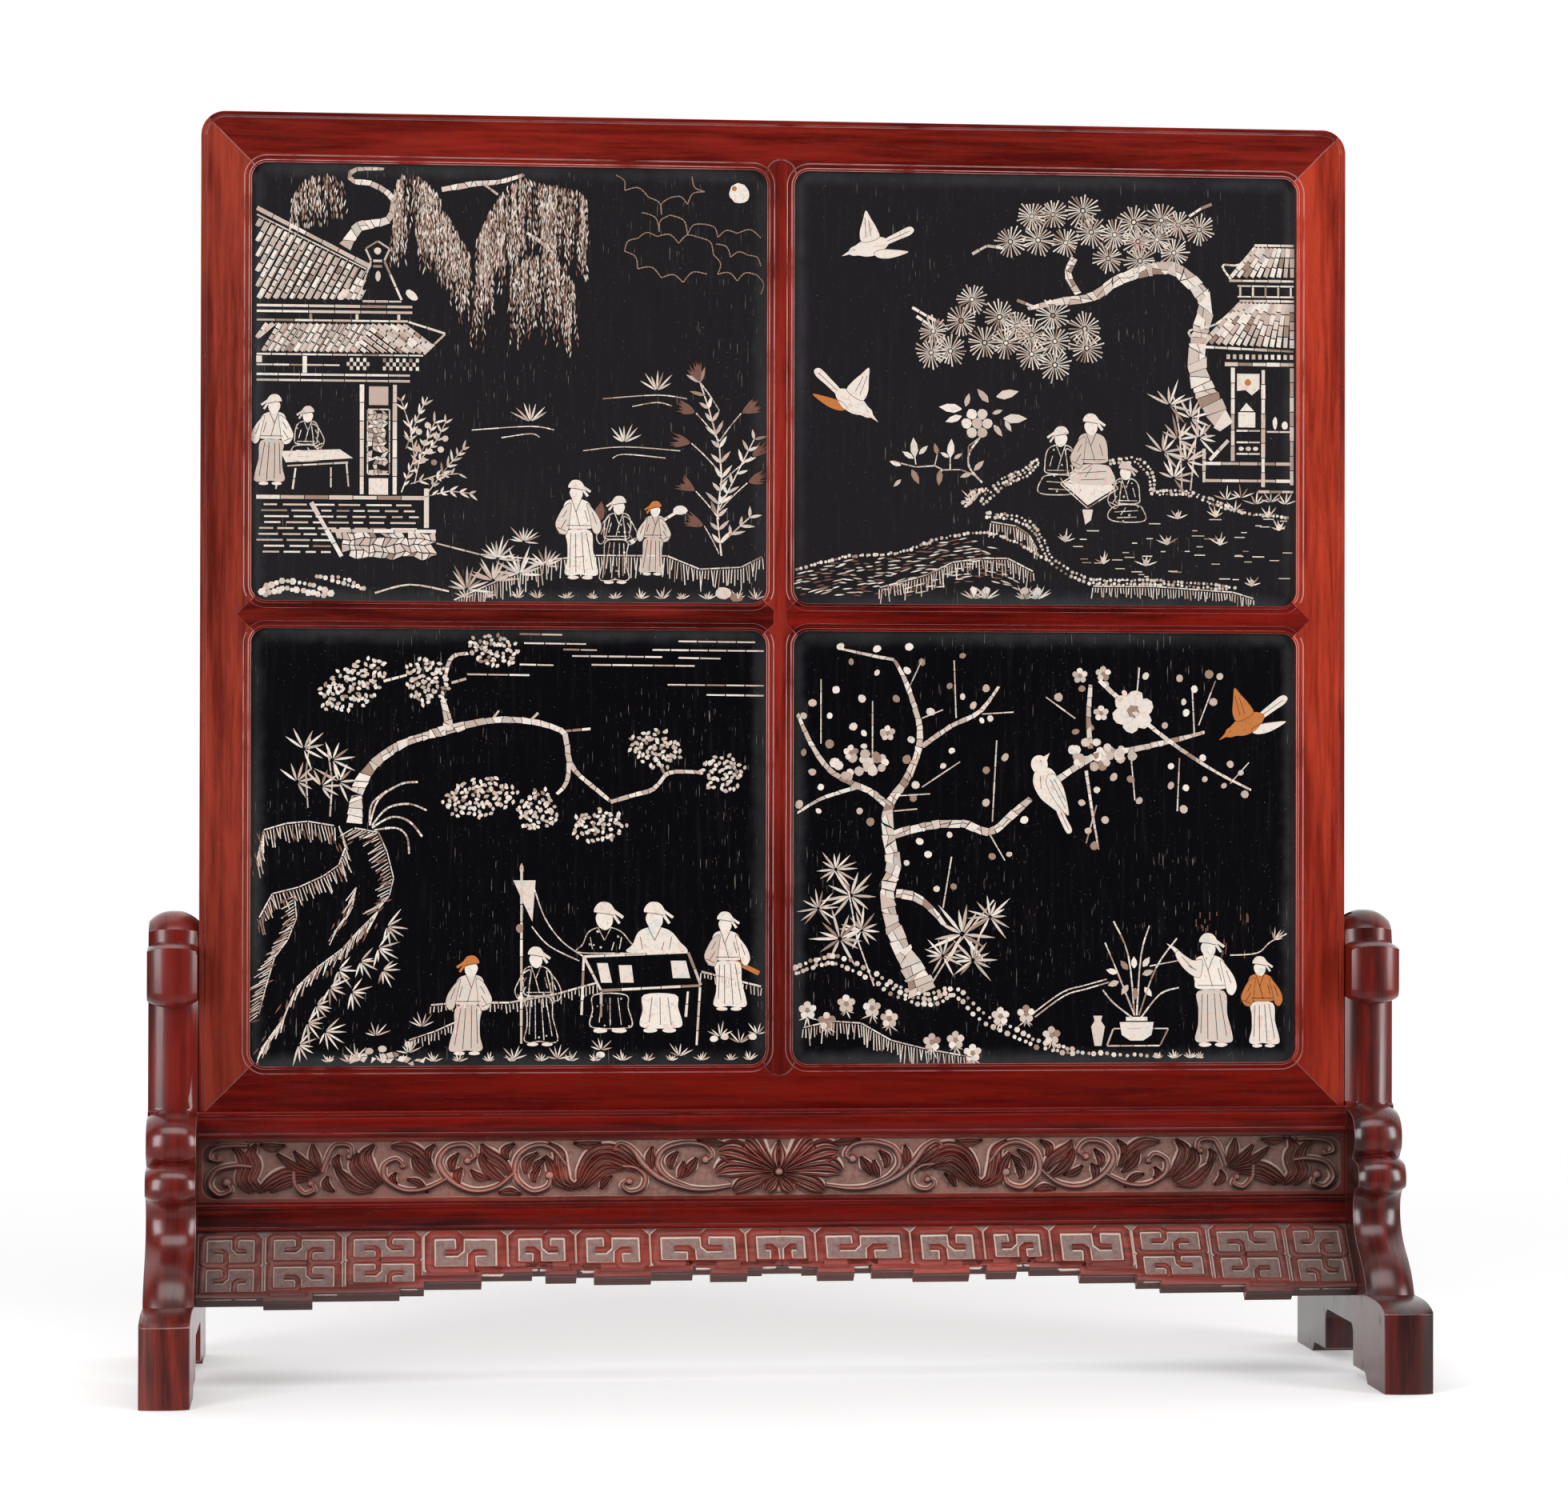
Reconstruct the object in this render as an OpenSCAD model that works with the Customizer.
// Inserted table screen: a hardwood stand with grooved posts carries a framed screen that lifts out.
// The frame holds four black lacquer panels inlaid with shell.
// Millimetres, +Z up, front towards -Y, origin on the ground midway between the two feet.

/* [Screen frame] */
// Width of the framed screen without its side tongues
frame_w = 530; // [490:1:580]
// Height of the framed screen
frame_h = 458; // [410:1:510]
// Thickness of the framed screen
frame_t = 22; // [20:0.5:26]
// Face width of the four outer members
member_w = 23; // [21:0.2:28]
// Face width of the bars between the windows
bar_w = 12.6; // [11.6:0.2:16]
// Radius of the frame's upper outer corners
frame_corner_r = 11; // [5:0.5:13]
// Radius of the window corners
window_corner_r = 7; // [4:0.5:9]
// Width of the thread bead that borders each window
bead_w = 1.2; // [0.8:0.1:1.6]
// Width of the sunk cove outside the thread bead
cove_w = 2.1; // [1:0.1:2.5]
// Depth of the sunk cove
cove_d = 0.85; // [0.4:0.05:1.2]
// Distance of the rim line from the frame's outer edge
rim_inset = 2; // [1.5:0.1:3]
// Width of the rim line
rim_w = 0.6; // [0.4:0.1:1]
// Depth of the rim line
rim_d = 0.5; // [0.3:0.05:0.8]

/* [Frame joints] */
// Thickness of all tenons in the frame
tenon_t = 6; // [4:0.5:8]
// Height of the tenon at each end of the top and bottom rails
rail_tenon_h = 9; // [6:0.5:11]
// Wood left outside the blind end of a rail tenon
rail_tenon_stop = 5; // [4:0.5:8]
// Reach of the bar tenons past the window edge
bar_tenon_l = 14; // [8:0.5:17]
// How far inside the window edge the mullion's round end is centred
nub_drop = 2; // [1:0.25:3]
// Reach of that round end past the mitre corners
nub_over = 0.3; // [0.2:0.05:0.6]
// Half width of the mullion left between the transom points
transom_tip = 3; // [2.5:0.25:4]
// Clearance round a tenon in its mortise
joint_play = 0.1; // [0.05:0.05:0.2]

/* [Panels] */
// Depth of the picture face behind the frame's front face
panel_recess = 3; // [2:0.25:4]
// Thickness of a lacquer panel
lacquer_t = 8; // [6:0.5:10]
// Depth of the panel grooves in the frame members
groove_d = 4; // [3:0.25:4.5]
// Room round a panel at the bottom of its groove
panel_play = 0.4; // [0.3:0.1:0.8]
// Room in front of and behind the panels in their groove
slot_play = 0.1; // [0.05:0.05:0.2]
// Thickness of the shell plates
inlay_t = 0.4; // [0.3:0.1:0.8]

/* [Posts] */
// Width of posts, spandrels and feet across the screen
post_w = 22.4; // [20:0.2:30]
// Depth of a post from front to back
post_d = 28; // [26:0.5:34]
// Height of a post above its foot
post_h = 174.2; // [160:0.2:200]
// Rise of the post's rounded top
dome_h = 8; // [4:0.5:11]
// Distance of the head block below the post's top
head_drop = 13.2; // [11.5:0.1:20]
// Height of the head block
head_h = 30; // [24:0.2:36]
// Reach of the head block in front of the post
head_out = 13.5; // [8:0.5:16]
// Fall of the head block's top towards its front edge
head_fall = 2.8; // [1:0.2:5]
// Radius of the head block's lower edges
head_low_r = 7; // [4:0.5:9]
// Length of the post's tenon in the foot
post_tenon_l = 13; // [8:0.5:14]
// Shoulder of that tenon on all four sides
post_shoulder = 5; // [3:0.5:7]

/* [Screen seat] */
// Room between the frame's side and a post
side_gap = 0.3; // [0.2:0.05:0.6]
// Thickness of the frame's side tongues
tongue_t = 8; // [6:0.5:10]
// Reach of the side tongues into the posts
tongue_l = 6; // [4:0.25:8]
// Room round a tongue in the groove of its post
tongue_play = 0.3; // [0.2:0.05:0.5]
// Height of a tongue's foot above the frame's lower edge
tongue_rise = 2; // [1.5:0.25:4]
// Height left above a tongue in the groove
tongue_short = 10; // [4:0.5:20]
// Depth of the seat in the upper rail
seat_d = 3; // [2:0.25:4]

/* [Rails] */
// Depth of the two stand rails from front to back
rail_d = 30; // [29:0.5:34]
// Height of the lower rail
lower_rail_h = 12.5; // [11.5:0.1:16]
// Height of the upper rail
upper_rail_h = 12.1; // [11.5:0.1:16]
// Radius of the beads along a rail's edges
rail_bead_r = 0.9; // [0.6:0.1:1.2]
// Width of the quirk beside each bead
quirk_w = 0.7; // [0.4:0.1:1]
// Depth of the quirk behind the bead's crown
quirk_d = 1.2; // [0.8:0.1:1.6]
// Rise of the convex band between the beads
band_rise = 1; // [0.5:0.1:1.2]
// Length of the rail tenons in the posts
stub_l = 14; // [8:0.5:16]
// Thickness and height of the rail tenons
stub_t = 7; // [5:0.5:8]

/* [Carved panel] */
// Height of the carved panel between the rails
carved_h = 30; // [24:0.5:40]
// Thickness of the carved panel's ground
carved_t = 18; // [14:0.5:22]
// Thickness of the tongue round the carved panel
carved_tongue_t = 8; // [5:0.5:9]
// Reach of that tongue into rails and posts
carved_tongue_l = 3; // [2:0.25:4]
// Width of the raised border round the carving
border_w = 2.2; // [1.5:0.1:3]
// Rise of the border above the ground
border_rise = 1.5; // [0.8:0.1:2]
// Radius of the border's inner corners
border_r = 5; // [3:0.5:8]

/* [Aprons] */
// Free height between the feet's top and the lower rail
apron_space = 28.9; // [26:0.1:36]
// Thickness of the aprons
apron_t = 6; // [5:0.5:9]
// Lean of the aprons from the vertical, in degrees
splay = 40; // [34:1:46]
// Distance of the apron's upper edge behind the rail's front
apron_set = 2; // [1:0.25:3]
// Slope distance from the rail to the apron's end tenon
apron_tenon_drop = 16; // [14:0.5:20]
// Width of the apron's end tenon along the slope
apron_tenon_w = 16; // [10:0.5:18]
// Reach of the apron's end tenon into the spandrel
apron_tenon_l = 3; // [2:0.25:5]

/* [Spandrels and feet] */
// Height of the spandrels
spandrel_h = 84.6; // [78:0.2:94]
// Reach of the spandrels in front of the post
spandrel_out = 43; // [38:0.5:50]
// Length of a foot from front to back
foot_l = 180; // [165:1:200]
// Height of a foot
foot_h = 40.5; // [38:0.5:48]
// Length of each ground pad under a foot
pad_l = 34; // [28:0.5:38]
// Height of the step behind a ground pad
foot_step_h = 4.75; // [4.5:0.25:7]
// Length of that step
foot_step_l = 28; // [20:0.5:30]
// Height of the arch under a foot
arch_h = 24; // [14:0.5:24]
// Radius of the arch's upper corners
arch_r = 5; // [3:0.5:8]
// Drop of the foot's top towards its ends
foot_drop = 4.5; // [3:0.5:9]
// Length of the falling part of the foot's top
foot_fall_l = 24; // [16:0.5:28]
// Thickness of the loose tenons that hold the spandrels
loose_t = 8; // [5:0.5:10]
// Width of the loose tenons
loose_w = 14; // [8:0.5:16]
// Length of the loose tenons
loose_l = 16; // [10:0.5:18]

/* [Hidden] */
$fn = 64;

red_wood = "#7a2a1c";
dark_wood = "#5c2018";
lacquer_black = "#151514";
board_brown = "#4a2a1e";
shell_white = "#e6dccf";

// Sides and levels of the four windows
left = -1;
right = 1;
lower = 0;
upper = 1;

// How far a cut runs past the face it opens
over = 1;
// Points on each curve of an outline
curve_steps = 8;

// Heights of the stand, from the ground up
lower_rail_z = foot_h + apron_space;
carved_z = lower_rail_z + lower_rail_h;
upper_rail_z = carved_z + carved_h;
stand_rail_top = upper_rail_z + upper_rail_h;
post_top = foot_h + post_h;
head_z = post_top - head_drop - head_h;

// Frame edges, windows and cross bars
frame_z = stand_rail_top - seat_d;
frame_top = frame_z + frame_h;
frame_mid = frame_z + frame_h / 2;
tongue_z = frame_z + tongue_rise;
window_w = (frame_w - 2 * member_w - bar_w) / 2;
window_h = (frame_h - 2 * member_w - bar_w) / 2;
bar_half = bar_w / 2;
window_edge = frame_w / 2 - member_w;
bar_tenon_w = bar_w - 2 * groove_d - 2 * joint_play;
corner_reach = member_w + window_corner_r;

// Panel stack between the grooves' walls
lacquer_y = -frame_t / 2 + panel_recess;
stack_t = frame_t - 2 * panel_recess;
back_t = stack_t - lacquer_t;
board_w = window_w + 2 * (groove_d - panel_play);
board_h = window_h + 2 * (groove_d - panel_play);

// Stand widths
span = frame_w + 2 * side_gap;
post_x = span / 2;
post_mid = post_x + post_w / 2;
dome_r = (post_d * post_d / 4 + dome_h * dome_h) / (2 * dome_h);

// Loose tenon places: up the post, and out along the foot
loose_up = 0.62 * spandrel_h;
loose_out = 0.45 * spandrel_out;

// Lower edge of an apron: distance from the middle, and depth along the slope from there outwards
apron_steps = [
  [0, 21.8], [9, 23], [16, 26], [33, 22], [41, 25], [60, 27], [86, 23], [94, 26], [108, 22],
  [114, 24.4], [137, 28.7], [163, 32], [174, 34.4], [213, 38.6], [235, 36.6]
];

// Spandrel outline as curves: share of the reach, share of the height
spandrel_curves = [
  [[0, 1], [0.26, 1], [0.465, 0.94], [0.465, 0.83]],
  [[0.465, 0.83], [0.465, 0.78], [0.44, 0.74], [0.395, 0.728]],
  [[0.395, 0.728], [0.53, 0.735], [0.65, 0.69], [0.65, 0.6]],
  [[0.65, 0.6], [0.65, 0.55], [0.6, 0.525], [0.512, 0.518]],
  [[0.512, 0.518], [0.43, 0.515], [0.384, 0.49], [0.384, 0.43]],
  [[0.384, 0.43], [0.384, 0.33], [0.52, 0.27], [0.65, 0.225]],
  [[0.65, 0.225], [0.8, 0.17], [0.93, 0.1], [1, 0]]
];

// Points of a cubic curve, without its last point
function curve(p) = [
  for (i = [0 : curve_steps - 1])
    let (t = i / curve_steps, s = 1 - t)
      s * s * s * p[0] + 3 * s * s * t * p[1] + 3 * s * t * t * p[2] + t * t * t * p[3]
];

// Points of an arc from angle a to angle b
function arc(centre, r, a, b) = [
  for (i = [0 : curve_steps])
    let (angle = a + (b - a) * i / curve_steps)
      centre + r * [cos(angle), sin(angle)]
];

function backwards(list) = [for (i = [len(list) - 1 : -1 : 0]) list[i]];
function mirrored(list) = [for (p = backwards(list)) [-p[0], p[1]]];

// Centre of a window
function window_x(side) = side * (bar_w + window_w) / 2;
function window_z(level) = frame_z + member_w + window_h / 2 + level * (window_h + bar_w);

// Raises a drawing of the XZ plane into a plate that starts at y and is t thick
module upright(y, t) {
  translate([0, y + t, 0])
    rotate([90, 0, 0])
      linear_extrude(t)
        children();
}

// Runs a drawing of the YZ plane along X, from x for a length l
module along_x(x, l) {
  translate([x, 0, 0])
    rotate([90, 0, 90])
      linear_extrude(l)
        children();
}

// Box given by its middle and its size
module block(middle, size) {
  translate(middle)
    cube(size, center = true);
}

// Copy on the left of what is drawn on the right
module on_left() {
  mirror([1, 0, 0])
    children();
}

// Copy at the rear of what is drawn at the front
module at_rear() {
  mirror([0, 1, 0])
    children();
}

module rounded(w, h, r) {
  square([w - 2 * r, h], center = true);
  square([w, h - 2 * r], center = true);
  for (x = [-1, 1], y = [-1, 1])
    translate([x * (w / 2 - r), y * (h / 2 - r)])
      circle(r);
}

// Frame outline, drawn in from the sides and the top
module frame_outline(inset) {
  w = frame_w - 2 * inset;
  h = frame_h - inset;
  translate([0, frame_z + h / 2])
    rounded(w, h, frame_corner_r - inset);
  translate([-w / 2, frame_z])
    square([w, h / 2]);
}

module window(side, level, grow = 0) {
  translate([window_x(side), window_z(level)])
    rounded(window_w + 2 * grow, window_h + 2 * grow, window_corner_r + grow);
}

// Line sunk into the front and the back of the frame
module sunk_line(depth) {
  upright(-frame_t / 2 - over, depth + over)
    children();
  upright(frame_t / 2 - depth, depth + over)
    children();
}

// One member of the frame: its share of the outline, less windows, coves, rim line and panel grooves
module frame_member(sides, levels) {
  difference() {
    upright(-frame_t / 2, frame_t)
      difference() {
        intersection() {
          frame_outline(0);
          children();
        }
        for (side = sides, level = levels)
          window(side, level);
      }
    for (side = sides, level = levels) {
      sunk_line(cove_d)
        difference() {
          window(side, level, bead_w + cove_w);
          window(side, level, bead_w);
        }
      block(
        [window_x(side), 0, window_z(level)],
        [window_w + 2 * groove_d, stack_t + 2 * slot_play, window_h + 2 * groove_d]
      );
    }
    sunk_line(rim_d)
      difference() {
        frame_outline(rim_inset);
        frame_outline(rim_inset + rim_w);
      }
  }
}

// Share of the mullion: mitred past the window corners, with a round end in each rail
module mullion_area(grow = 0) {
  half_h = frame_h / 2 - member_w;
  wide = bar_half + window_corner_r;
  translate([0, frame_mid]) {
    polygon([
      [wide, half_h - window_corner_r], [bar_half, half_h], [-bar_half, half_h],
      [-wide, half_h - window_corner_r], [-wide, window_corner_r - half_h], [-bar_half, -half_h],
      [bar_half, -half_h], [wide, window_corner_r - half_h]
    ]);
    for (end = [-1, 1])
      translate([0, end * (half_h - nub_drop)])
        circle(norm([bar_half, nub_drop]) + nub_over + grow);
  }
}

// Share of the right transom: a mitred point in the stile and a blunt one in the mullion
module transom_area() {
  r = window_corner_r;
  translate([0, frame_mid])
    polygon([
      [transom_tip, -transom_tip], [bar_half, -bar_half], [bar_half + r, -bar_half - r],
      [window_edge - r, -bar_half - r], [window_edge, -bar_half], [window_edge + bar_half, 0],
      [window_edge, bar_half], [window_edge - r, bar_half + r], [bar_half + r, bar_half + r],
      [bar_half, bar_half], [transom_tip, transom_tip]
    ]);
}

module both_transom_areas() {
  transom_area();
  on_left()
    transom_area();
}

// Share of the top rail or, with end -1, of the bottom rail
module rail_area(end) {
  outer = frame_w / 2;
  inner = outer - corner_reach;
  translate([0, frame_mid])
    turned(end)
      polygon([
        [-outer, frame_h / 2], [outer, frame_h / 2],
        [inner, frame_h / 2 - corner_reach], [-inner, frame_h / 2 - corner_reach]
      ]);
}

// Leaves a drawing upright for end 1 and turns it upside down for end -1
module turned(end) {
  rotate(end > 0 ? 0 : 180)
    children();
}

// Share of the right stile
module stile_area() {
  outer = frame_w / 2;
  inner = outer - corner_reach;
  inner_h = frame_h / 2 - corner_reach;
  translate([0, frame_mid])
    polygon([[outer, -frame_h / 2], [outer, frame_h / 2], [inner, inner_h], [inner, -inner_h]]);
}

// Tenons at both ends of the top or the bottom rail
module rail_tenons(end, play = 0) {
  middle_z = frame_mid + end * (frame_h - member_w) / 2;
  length = member_w - rail_tenon_stop;
  for (side = [-1, 1])
    block(
      [side * (window_edge + length / 2), 0, middle_z],
      [length + 2 * play, tenon_t + 2 * play, rail_tenon_h + 2 * play]
    );
}

// Tenons at both ends of the mullion
module mullion_tenons(play = 0) {
  block(
    [0, 0, frame_mid],
    [bar_tenon_w + 2 * play, tenon_t + 2 * play, frame_h - 2 * member_w + 2 * bar_tenon_l + 2 * play]
  );
}

// Tenons of the right transom: a long one in the stile and a short one in the mullion
module transom_tenons(play = 0) {
  inner = joint_play - play;
  outer = window_edge + bar_tenon_l + play;
  block(
    [(inner + outer) / 2, 0, frame_mid],
    [outer - inner, tenon_t + 2 * play, bar_tenon_w + 2 * play]
  );
}

module frame_rail(end) {
  color(red_wood) {
    difference() {
      frame_member([left, right], [end > 0 ? upper : lower])
        difference() {
          rail_area(end);
          mullion_area(joint_play);
        }
      mullion_tenons(joint_play);
    }
    rail_tenons(end);
  }
}

module frame_top_rail() {
  frame_rail(1);
}

module frame_bottom_rail() {
  frame_rail(-1);
}

module right_stile() {
  tongue_h = post_top - tongue_short - tongue_z;
  color(red_wood) {
    difference() {
      frame_member([right], [lower, upper])
        difference() {
          stile_area();
          transom_area();
        }
      rail_tenons(1, joint_play);
      rail_tenons(-1, joint_play);
      transom_tenons(joint_play);
    }
    block(
      [(frame_w + tongue_l) / 2 - over / 2, 0, tongue_z + tongue_h / 2],
      [tongue_l + over, tongue_t, tongue_h]
    );
  }
}

module frame_right_stile() {
  right_stile();
}

module frame_left_stile() {
  on_left()
    right_stile();
}

module mullion() {
  color(red_wood) {
    difference() {
      frame_member([left, right], [lower, upper])
        difference() {
          mullion_area();
          both_transom_areas();
        }
      block(
        [0, 0, frame_mid],
        [2 * bar_half, tenon_t + 2 * joint_play, bar_tenon_w + 2 * joint_play]
      );
    }
    difference() {
      mullion_tenons();
      block([0, 0, frame_mid], [bar_w, bar_w, bar_w]);
    }
  }
}

module right_transom() {
  color(dark_wood) {
    frame_member([right], [lower, upper])
      transom_area();
    transom_tenons();
  }
}

module transom_right() {
  right_transom();
}

module transom_left() {
  on_left()
    right_transom();
}

module lacquer_panel(side, level) {
  color(lacquer_black)
    block(
      [window_x(side), lacquer_y + lacquer_t / 2, window_z(level)],
      [board_w, lacquer_t, board_h]
    );
}

module back_board(side, level) {
  color(board_brown)
    block(
      [window_x(side), lacquer_y + lacquer_t + back_t / 2, window_z(level)],
      [board_w, back_t, board_h]
    );
}

module lacquer_panel_upper_left() {
  lacquer_panel(left, upper);
}

module lacquer_panel_upper_right() {
  lacquer_panel(right, upper);
}

module lacquer_panel_lower_left() {
  lacquer_panel(left, lower);
}

module lacquer_panel_lower_right() {
  lacquer_panel(right, lower);
}

module back_board_upper_left() {
  back_board(left, upper);
}

module back_board_upper_right() {
  back_board(right, upper);
}

module back_board_lower_left() {
  back_board(left, lower);
}

module back_board_lower_right() {
  back_board(right, lower);
}

// Place in a window, as shares of its width and height from its centre
function spot(x, z) = [x * window_w, z * window_h];

// Lays drawn shapes as shell plates on the face of one lacquer panel
module shell(side, level) {
  color(shell_white)
    upright(lacquer_y - inlay_t, inlay_t)
      translate([window_x(side), window_z(level)])
        children();
}

// One edge of a tapering branch along a path
function branch_edge(path, w0, w1, s) = [
  for (i = [0 : len(path) - 1])
    let (
      from = path[max(i - 1, 0)],
      to = path[min(i + 1, len(path) - 1)],
      d = (to - from) / norm(to - from),
      w = w0 + (w1 - w0) * i / (len(path) - 1)
    )
      path[i] + s * w / 2 * [-d[1], d[0]]
];

// Branch or bank that tapers from width w0 to w1 along its spots
module branch(spots, w0, w1) {
  path = [for (p = spots) spot(p[0], p[1])];
  polygon(concat(branch_edge(path, w0, w1, 1), backwards(branch_edge(path, w0, w1, -1))));
}

module disc(x, z, r) {
  translate(spot(x, z))
    circle(r);
}

// Slim leaf from near a place, of a length and a direction
module leaf(x, z, l, angle) {
  translate(spot(x, z))
    rotate(angle)
      translate([1, 0])
        polygon([[0, 0], [0.4 * l, 0.12 * l], [l, 0], [0.4 * l, -0.12 * l]]);
}

// Spray of leaves round a place
module spray(x, z, l, angles) {
  for (angle = angles)
    leaf(x, z, l, angle);
}

// Standing robed figure of height h: robe and head as two plates
module robed_figure(x, z, h) {
  translate(spot(x, z)) {
    polygon([
      [-0.13 * h, 0], [0.13 * h, 0], [0.16 * h, 0.4 * h], [0.2 * h, 0.55 * h], [0.07 * h, 0.78 * h],
      [-0.07 * h, 0.78 * h], [-0.2 * h, 0.55 * h], [-0.16 * h, 0.4 * h]
    ]);
    translate([0, 0.9 * h])
      circle(0.1 * h);
  }
}

// Flying bird with a body and two wings as one plate
module bird(x, z, l, angle) {
  translate(spot(x, z))
    rotate(angle)
      polygon([
        [-0.5 * l, 0], [-0.36 * l, 0.09 * l], [-0.1 * l, 0.1 * l], [0.1 * l, 0.38 * l],
        [0.14 * l, 0.08 * l], [0.5 * l, 0.06 * l], [0.5 * l, -0.06 * l], [0.1 * l, -0.1 * l],
        [-0.1 * l, -0.36 * l], [-0.14 * l, -0.1 * l], [-0.36 * l, -0.08 * l]
      ]);
}

// Tiled roof slope with its eave and ridge, w wide and h high
module roof(x, z, w, h) {
  tiles = 6;
  pitch = w / tiles;
  translate(spot(x, z)) {
    for (i = [0 : tiles - 1])
      translate([i * pitch, 0])
        polygon([[0, 0], [0.8 * pitch, 0], [0.8 * pitch - 0.3 * h, h], [-0.3 * h, h]]);
    translate([-0.3 * h, h + 0.6])
      square([w, 1.6]);
    translate([0, -2])
      square([w, 1.4]);
  }
}

// Pavilion scene: roof, columns and terrace, willow bough, moon, strolling figures and a bank
module inlay_upper_left() {
  shell(left, upper) {
    disc(0.447, 0.447, 4.3);
    roof(-0.46, 0.1, 0.34 * window_w, 0.1 * window_h);
    roof(-0.46, 0.25, 0.2 * window_w, 0.12 * window_h);
    for (x = [-0.46, -0.29])
      branch([[x, -0.24], [x, 0.07]], 3.4, 3.4);
    branch([[-0.48, -0.27], [-0.16, -0.27]], 3.2, 3.2);
    branch([[-0.48, -0.31], [-0.2, -0.33]], 2.4, 4);
    branch([[-0.44, -0.17], [-0.31, -0.17]], 2, 2);
    robed_figure(-0.385, -0.145, 24);
    branch([[-0.27, 0.44], [-0.2, 0.43], [-0.14, 0.46], [0.02, 0.455], [0.1, 0.47]], 4, 1.4);
    for (i = [0 : 5])
      branch([[-0.1 + 0.05 * i, 0.42], [-0.11 + 0.05 * i, 0.3], [-0.09 + 0.05 * i, 0.12]], 1.4, 0.8);
    robed_figure(0.125, -0.445, 40);
    robed_figure(0.205, -0.46, 36);
    robed_figure(0.29, -0.43, 30);
    branch([[-0.1, -0.49], [-0.02, -0.43], [0.07, -0.42]], 2, 5);
    branch([[0.4, -0.42], [0.42, -0.2], [0.4, 0.02]], 1.8, 1);
    for (i = [0 : 4]) {
      leaf(0.425, -0.36 + 0.08 * i, 12, 35);
      leaf(0.405, -0.36 + 0.08 * i, 12, 145);
    }
  }
}

// Pine scene: pine with needle fans, pavilion, board players, two birds and a bank
module inlay_upper_right() {
  shell(right, upper) {
    bird(-0.34, 0.36, 26, 160);
    bird(-0.4, 0.0, 28, -30);
    branch([[0.33, -0.09], [0.31, 0.08], [0.27, 0.24], [0.1, 0.27], [-0.06, 0.18]], 6, 2);
    for (i = [0 : 5])
      disc(-0.08 + 0.08 * i, 0.4 - 0.015 * (i % 2) * 4, 8);
    for (i = [0 : 4])
      disc(-0.24 + 0.08 * i, 0.1 + 0.015 * (i % 2) * 4, 8);
    roof(0.41, 0.29, 0.08 * window_w, 0.08 * window_h);
    roof(0.36, 0.13, 0.13 * window_w, 0.1 * window_h);
    for (x = [0.38, 0.47])
      branch([[x, -0.2], [x, 0.09]], 2.6, 2.6);
    branch([[0.33, -0.24], [0.49, -0.24]], 3, 3);
    branch([[-0.45, -0.46], [-0.2, -0.4], [-0.05, -0.38]], 2, 7);
    branch([[-0.02, -0.42], [0.12, -0.47], [0.36, -0.485]], 5, 3);
    translate(spot(0.08, -0.24))
      polygon([[-11, 0], [0, -7], [11, 0], [0, 7]]);
    robed_figure(0.0, -0.28, 28);
    robed_figure(0.085, -0.16, 26);
    spray(-0.13, -0.08, 14, [for (a = [0 : 40 : 320]) a]);
  }
}

// Leaning tree scene: cliff, arching tree with leaf clusters, figures at a table and a banner
module inlay_lower_left() {
  shell(left, lower) {
    branch([[-0.44, -0.46], [-0.4, -0.3], [-0.33, -0.12], [-0.3, 0.04]], 9, 4);
    branch([[-0.28, 0.06], [-0.26, 0.16], [-0.16, 0.25], [0.0, 0.29], [0.14, 0.27]], 6, 2);
    branch([[0.11, 0.24], [0.14, 0.12], [0.25, 0.09], [0.36, 0.16]], 2.4, 1.2);
    for (p = [[-0.31, 0.38], [-0.16, 0.37], [-0.03, 0.44], [-0.06, 0.11], [0.04, 0.09]])
      disc(p[0], p[1], 9);
    for (p = [[0.18, 0.05], [0.3, 0.22], [0.42, 0.16]])
      disc(p[0], p[1], 8);
    for (i = [0 : 3])
      branch([[0.06, 0.48 - 0.02 * i], [0.46, 0.48 - 0.02 * i]], 0.8, 0.8);
    robed_figure(-0.075, -0.475, 34);
    robed_figure(0.065, -0.44, 38);
    branch([[0.025, -0.4], [0.035, -0.08]], 1.2, 1.2);
    translate(spot(0.055, -0.12))
      polygon([[-2, 8], [6, 6], [2, -6], [-1, -4]]);
    branch([[0.13, -0.27], [0.36, -0.27]], 3, 3);
    robed_figure(0.2, -0.24, 22);
    robed_figure(0.3, -0.24, 22);
    robed_figure(0.43, -0.37, 36);
  }
}

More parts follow.
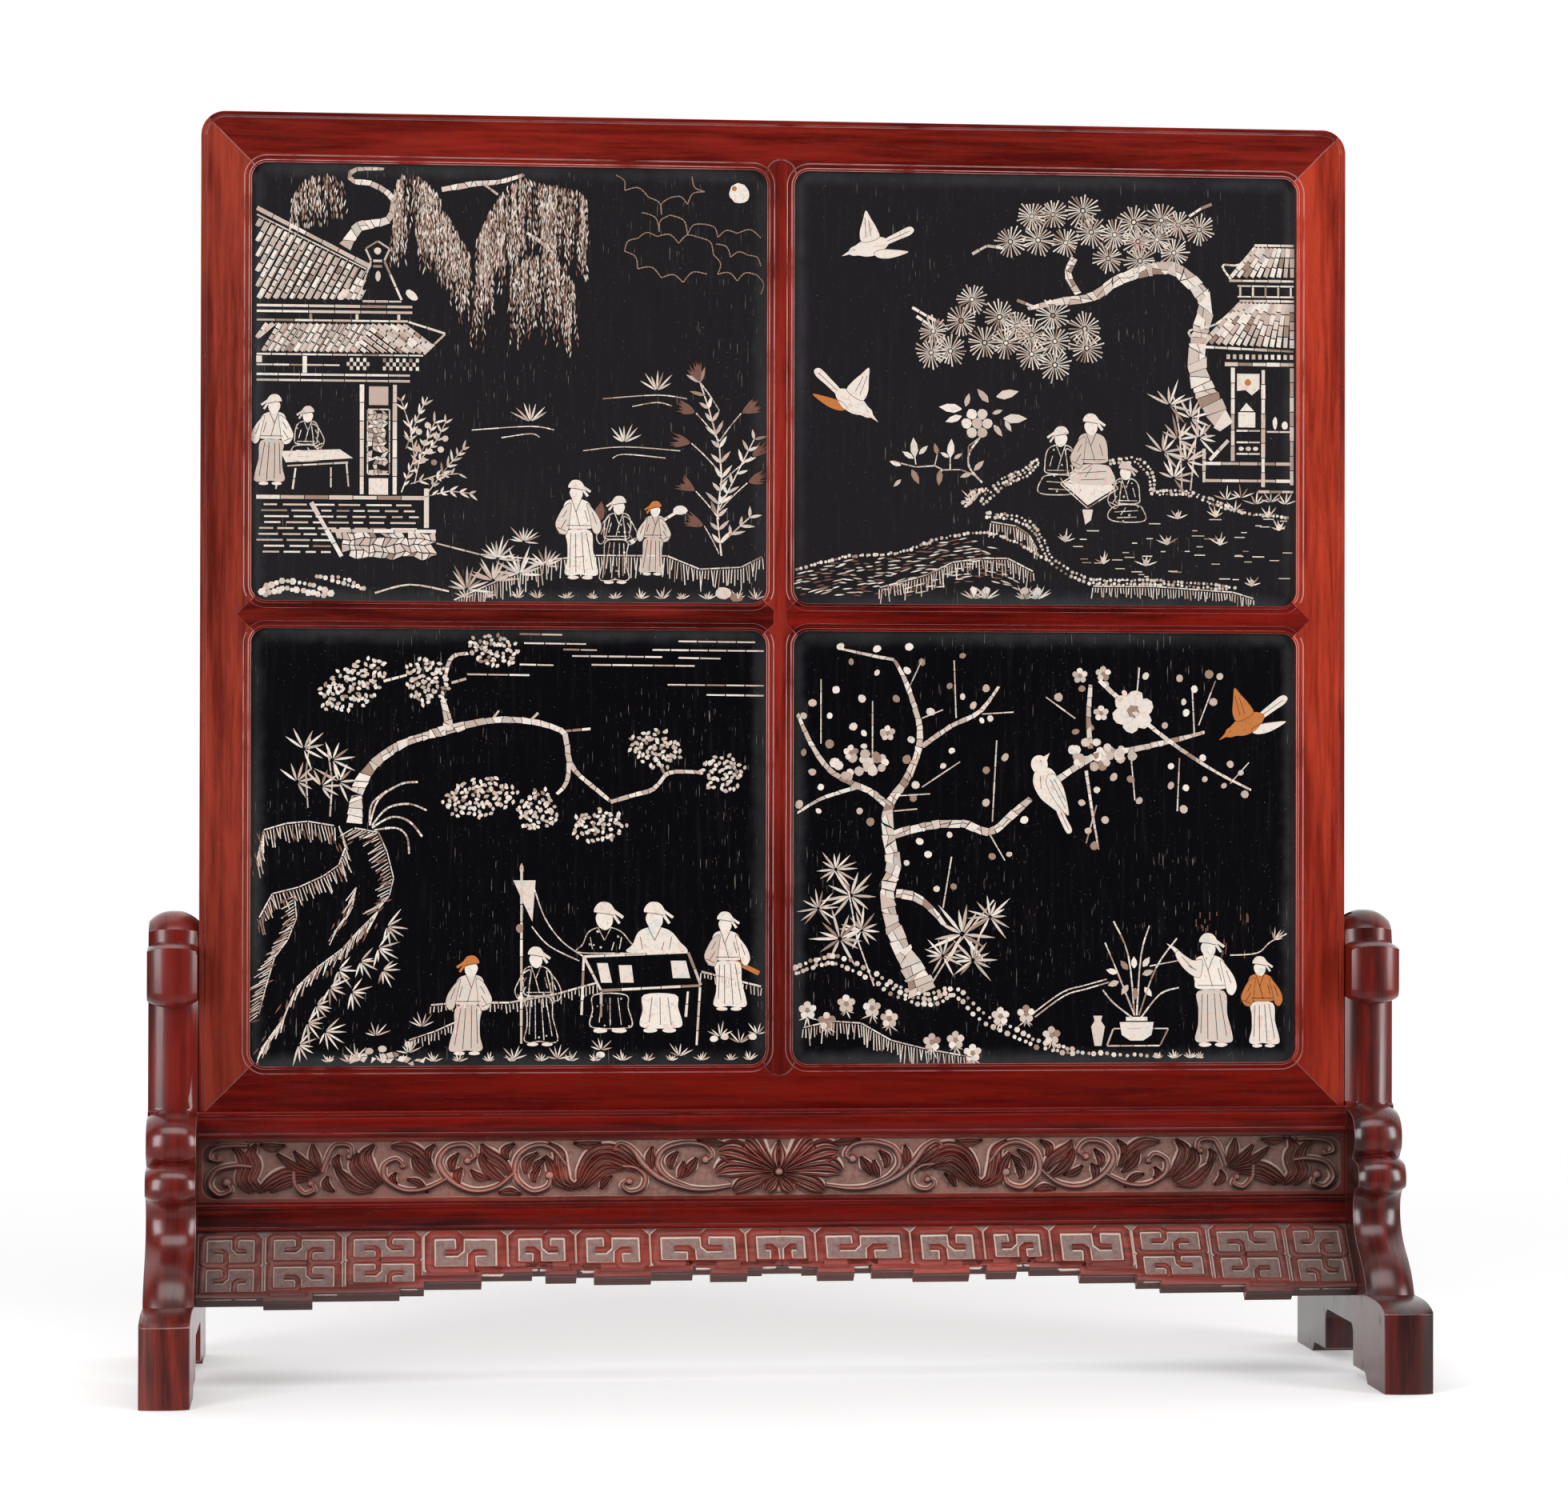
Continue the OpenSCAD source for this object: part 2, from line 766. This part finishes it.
// Plum scene: flowering tree, perched and flying birds, bamboo, pots and two figures
module inlay_lower_right() {
  shell(right, lower) {
    branch([[-0.28, -0.31], [-0.31, -0.12], [-0.31, 0.02], [-0.27, 0.2], [-0.25, 0.44]], 8, 1.6);
    branch([[-0.29, 0.08], [-0.1, 0.08], [0.0, 0.16]], 4, 2);
    branch([[0.03, 0.17], [0.2, 0.25], [0.32, 0.28]], 3, 1.4);
    branch([[-0.48, -0.24], [-0.3, -0.33], [-0.05, -0.42], [0.15, -0.48]], 3, 5);
    for (i = [0 : 4]) {
      disc(-0.42 + 0.05 * i, 0.42 - 0.02 * (i % 2) * 3, 3);
      disc(-0.47 + 0.035 * i, 0.28 - 0.03 * i, 3.2);
      disc(0.06 + 0.05 * i, 0.35 - 0.05 * (i % 2), 3.2);
    }
    disc(0.18, 0.33, 7);
    bird(0.02, 0.1, 22, 120);
    bird(0.42, 0.3, 26, 20);
    spray(-0.4, -0.15, 16, [for (a = [20 : 40 : 340]) a]);
    spray(-0.13, -0.16, 16, [for (a = [0 : 40 : 320]) a]);
    robed_figure(0.34, -0.465, 46);
    robed_figure(0.44, -0.47, 36);
    translate(spot(0.19, -0.42))
      polygon([[-4, -4], [4, -4], [7, 1], [5, 4], [-5, 4], [-7, 1]]);
    spray(0.19, -0.34, 14, [for (a = [30 : 30 : 150]) a]);
    branch([[0.1, -0.46], [0.1, -0.4]], 4, 3);
  }
}

// Loose tenons of the front right spandrel: one in the post, one in the foot
module spandrel_tenons(play = 0) {
  grow = 2 * play;
  block(
    [post_mid, -post_d / 2, foot_h + loose_up],
    [loose_t + grow, loose_l + grow, loose_w + grow]
  );
  block(
    [post_mid, -post_d / 2 - loose_out, foot_h],
    [loose_t + grow, loose_w + grow, loose_l + grow]
  );
}

// Both spandrels' loose tenons on the right
module side_tenons(play = 0) {
  spandrel_tenons(play);
  at_rear()
    spandrel_tenons(play);
}

module spandrel_loose_tenons() {
  color(dark_wood) {
    side_tenons();
    on_left()
      side_tenons();
  }
}

// Block on the post's head: its top falls in a curve to a crisp front edge, its lower edges are round
module head_outline() {
  inner = post_d / 2;
  outer = inner + head_out;
  top = head_z + head_h;
  half = concat(
    arc([outer - head_low_r, head_z + head_low_r], head_low_r, -90, 0),
    curve([
      [outer, top - head_fall],
      [outer - 0.25 * head_out, top - 0.3 * head_fall],
      [inner + 0.3 * head_out, top],
      [inner, top]
    ]),
    [[inner, top]]
  );
  polygon(concat(half, mirrored(half)));
}

module post_outline() {
  straight_h = post_h - dome_h;
  translate([-post_d / 2, foot_h])
    square([post_d, straight_h]);
  translate([0, post_top - dome_r])
    intersection() {
      circle(dome_r);
      translate([-post_d / 2, dome_r - dome_h - over])
        square([post_d, dome_h + 2 * over]);
    }
  head_outline();
}

// Tenon under the post
module post_tenon(play = 0) {
  w = post_w - 2 * post_shoulder + 2 * play;
  d = post_d - 2 * post_shoulder + 2 * play;
  block([post_mid, 0, foot_h - post_tenon_l / 2], [w, d, post_tenon_l + 2 * play]);
}

// Tenon of a stand rail in the right post
module rail_stub(rail_z, rail_h, play = 0) {
  block(
    [post_x + stub_l / 2, 0, rail_z + rail_h / 2],
    [stub_l + 2 * play, stub_t + 2 * play, stub_t + 2 * play]
  );
}

module right_post() {
  groove_z = tongue_z - tongue_play;
  groove_h = post_top - groove_z + over;
  groove_l = tongue_l + tongue_play - side_gap;
  color(red_wood) {
    difference() {
      along_x(post_x, post_w)
        post_outline();
      block(
        [post_x + groove_l / 2 - over / 2, 0, groove_z + groove_h / 2],
        [groove_l + over, tongue_t + 2 * tongue_play, groove_h]
      );
      block(
        [post_x, 0, carved_z + carved_h / 2],
        [
          2 * (carved_tongue_l + joint_play),
          carved_tongue_t + 2 * joint_play,
          carved_h + 2 * carved_tongue_l + 2 * joint_play
        ]
      );
      rail_stub(lower_rail_z, lower_rail_h, joint_play);
      rail_stub(upper_rail_z, upper_rail_h - seat_d, joint_play);
      side_tenons(joint_play);
    }
    post_tenon();
  }
}

module post_right() {
  right_post();
}

module post_left() {
  on_left()
    right_post();
}

module spandrel_outline() {
  points = [for (c = spandrel_curves) each curve(c)];
  polygon(concat(
    [for (p = points) [-post_d / 2 - spandrel_out * p[0], foot_h + spandrel_h * p[1]]],
    [[-post_d / 2 - spandrel_out, foot_h], [-post_d / 2, foot_h]]
  ));
}

module front_right_spandrel() {
  color(red_wood)
    difference() {
      along_x(post_x, post_w)
        spandrel_outline();
      spandrel_tenons(joint_play);
      apron_tenons(joint_play);
    }
}

module spandrel_front_right() {
  front_right_spandrel();
}

module spandrel_front_left() {
  on_left()
    front_right_spandrel();
}

module spandrel_rear_right() {
  at_rear()
    front_right_spandrel();
}

module spandrel_rear_left() {
  on_left()
    at_rear()
      front_right_spandrel();
}

// Half of a foot's side view, from the middle of the arch round to the middle of the top
function foot_half() =
  let (
    end = foot_l / 2,
    pad = end - pad_l,
    step = pad - foot_step_l,
    face_h = foot_h - foot_drop
  )
    concat(
      arc([step - arch_r, arch_h - arch_r], arch_r, 90, 0),
      [[step, foot_step_h], [pad - foot_step_h, foot_step_h], [pad, 0], [end, 0]],
      curve([
        [end, face_h],
        [end - 0.25 * foot_fall_l, face_h + 0.7 * foot_drop],
        [end - 0.6 * foot_fall_l, foot_h],
        [end - foot_fall_l, foot_h]
      ]),
      [[end - foot_fall_l, foot_h]]
    );

module right_foot() {
  color(red_wood)
    difference() {
      along_x(post_x, post_w)
        polygon(concat(foot_half(), mirrored(foot_half())));
      post_tenon(joint_play);
      side_tenons(joint_play);
    }
}

module foot_right() {
  right_foot();
}

module foot_left() {
  on_left()
    right_foot();
}

// Moulded front edge of a stand rail, from its underside up
function rail_edge(h) =
  let (
    crown = rail_d / 2,
    quirk = crown - quirk_d,
    low = 2 * rail_bead_r + quirk_w,
    band_h = h - 2 * low
  )
    concat(
      arc([crown - rail_bead_r, rail_bead_r], rail_bead_r, -90, 90),
      [[quirk, 2 * rail_bead_r]],
      [
        for (i = [0 : curve_steps])
          let (t = i / curve_steps)
            [quirk + 4 * band_rise * t * (1 - t), low + band_h * t]
      ],
      [[quirk, h - 2 * rail_bead_r]],
      arc([crown - rail_bead_r, h - rail_bead_r], rail_bead_r, -90, 90)
    );

// Stand rail with a tenon at each end, centred in the height solid_h above its underside
module stand_rail(rail_z, rail_h, solid_h) {
  translate([0, 0, rail_z])
    along_x(-span / 2, span)
      polygon(concat(rail_edge(rail_h), mirrored(rail_edge(rail_h))));
  rail_stub(rail_z, solid_h);
  on_left()
    rail_stub(rail_z, solid_h);
}

// Tongue round the carved panel, or the groove for it
module carved_tongue(play = 0) {
  reach = 2 * (carved_tongue_l + play);
  block(
    [0, 0, carved_z + carved_h / 2],
    [span + reach, carved_tongue_t + 2 * play, carved_h + reach]
  );
}

module lower_rail() {
  color(red_wood)
    difference() {
      stand_rail(lower_rail_z, lower_rail_h, lower_rail_h);
      carved_tongue(joint_play);
    }
}

module upper_rail() {
  color(red_wood)
    difference() {
      stand_rail(upper_rail_z, upper_rail_h, upper_rail_h - seat_d);
      carved_tongue(joint_play);
      block(
        [0, 0, stand_rail_top],
        [span + 2 * over, frame_t + 2 * tongue_play, 2 * seat_d]
      );
    }
}

// Board with a raised border on both faces
module carved_panel() {
  middle = [0, 0, carved_z + carved_h / 2];
  color(dark_wood) {
    difference() {
      block(middle, [span, carved_t + 2 * border_rise, carved_h]);
      for (face = [-1, 1])
        upright(face * (carved_t / 2 + border_rise) - border_rise, 2 * border_rise)
          translate([0, carved_z + carved_h / 2])
            rounded(span - 2 * border_w, carved_h - 2 * border_w, border_r);
    }
    carved_tongue();
  }
}

// Turns a drawing into a leaning plate under the lower rail's front, from depth a to depth b
module leaning(a, b) {
  translate([0, apron_set - rail_d / 2, lower_rail_z])
    rotate([90 - splay, 0, 0])
      translate([0, 0, -b])
        linear_extrude(b - a)
          children();
}

module apron_outline() {
  last = len(apron_steps) - 1;
  half = [
    for (i = [0 : last])
      let (end_x = i < last ? apron_steps[i + 1][0] : span / 2)
        each [[apron_steps[i][0], -apron_steps[i][1]], [end_x, -apron_steps[i][1]]]
  ];
  polygon(concat([[-span / 2, apron_t], [span / 2, apron_t]], backwards(half), mirrored(backwards(half))));
}

// Tenons at both ends of the front apron
module apron_tenons(play = 0) {
  margin = apron_t / 5;
  leaning(margin - play, apron_t - margin + play)
    for (side = [-1, 1])
      translate([side * post_x, -apron_tenon_drop - apron_tenon_w / 2])
        square([2 * (apron_tenon_l + play), apron_tenon_w + 2 * play], center = true);
}

module apron() {
  color(dark_wood) {
    difference() {
      leaning(0, apron_t)
        apron_outline();
      block([0, 0, lower_rail_z + rail_d / 2], [2 * span, 2 * rail_d, rail_d]);
    }
    apron_tenons();
  }
}

module front_apron() {
  apron();
}

module rear_apron() {
  at_rear()
    apron();
}

foot_left();
foot_right();
post_left();
post_right();
spandrel_front_left();
spandrel_front_right();
spandrel_rear_left();
spandrel_rear_right();
spandrel_loose_tenons();
lower_rail();
upper_rail();
carved_panel();
front_apron();
rear_apron();
frame_top_rail();
frame_bottom_rail();
frame_left_stile();
frame_right_stile();
mullion();
transom_left();
transom_right();
lacquer_panel_upper_left();
lacquer_panel_upper_right();
lacquer_panel_lower_left();
lacquer_panel_lower_right();
back_board_upper_left();
back_board_upper_right();
back_board_lower_left();
back_board_lower_right();
inlay_upper_left();
inlay_upper_right();
inlay_lower_left();
inlay_lower_right();
